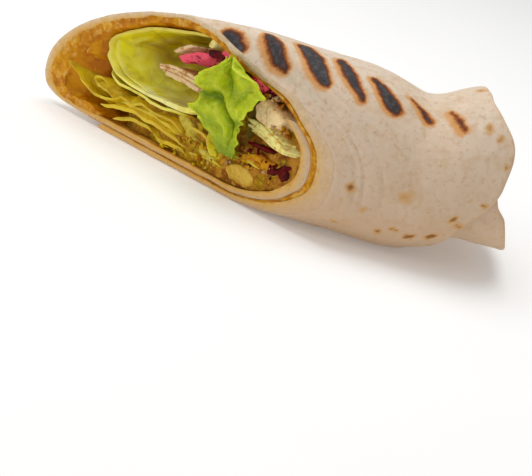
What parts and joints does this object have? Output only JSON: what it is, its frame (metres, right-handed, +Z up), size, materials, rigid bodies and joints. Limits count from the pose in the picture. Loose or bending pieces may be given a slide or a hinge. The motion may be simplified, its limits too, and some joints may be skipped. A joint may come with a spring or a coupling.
{
  "type": "falafel wrap",
  "caption": "Half of a grilled falafel wrap, cut on the slant, with a rolled tortilla round leaves, cabbage, onion, falafel and hummus in a yellow sauce.",
  "frame": {"origin": "centre of the footprint, on the plate, under the pressed side", "axes": "+X along the roll from the slanting cut to the folded tail, +Y towards the side that the cut reaches furthest forward on, +Z up from the plate"},
  "size_m": [0.163, 0.0652, 0.055],
  "materials": {
    "tortilla": "soft matt flour tortilla with dark grill bars",
    "sauce": "wet yellow-orange sauce",
    "pale_leaf": "moist pale green lettuce with white ribs",
    "yellow_leaf": "moist yellow-green lettuce",
    "green_leaf": "crisp bright green lettuce",
    "onion": "moist pale pink onion",
    "red_cabbage": "moist dark red cabbage",
    "white_cabbage": "moist pale cabbage with cut layers",
    "falafel": "rough crumbly tan crumb with a brown crust",
    "hummus": "moist grainy paste",
    "spiced_filling": "wet spiced sauce with bits"
  },
  "bodies": {
    "root": {"tortilla": "tortilla", "sauce": "sauce", "cup_leaf": "pale_leaf", "outer_leaf": "pale_leaf", "hook_leaf": "yellow_leaf", "tuck_leaf": "yellow_leaf", "bottom_leaf_1": "yellow_leaf", "bottom_leaf_2": "yellow_leaf", "bottom_leaf_3": "yellow_leaf", "green_leaf": "green_leaf", "frilly_leaf": "green_leaf", "onion": "onion", "red_cabbage_1": "red_cabbage", "red_cabbage_2": "red_cabbage", "red_cabbage_3": "red_cabbage", "red_cabbage_4": "red_cabbage", "red_cabbage_5": "red_cabbage", "cabbage_shred_1": "white_cabbage", "cabbage_shred_2": "white_cabbage", "white_cabbage": "white_cabbage", "falafel": "falafel", "falafel_crumbs": "falafel", "hummus": "hummus", "spiced_filling": "spiced_filling"}
  },
  "joints": []
}
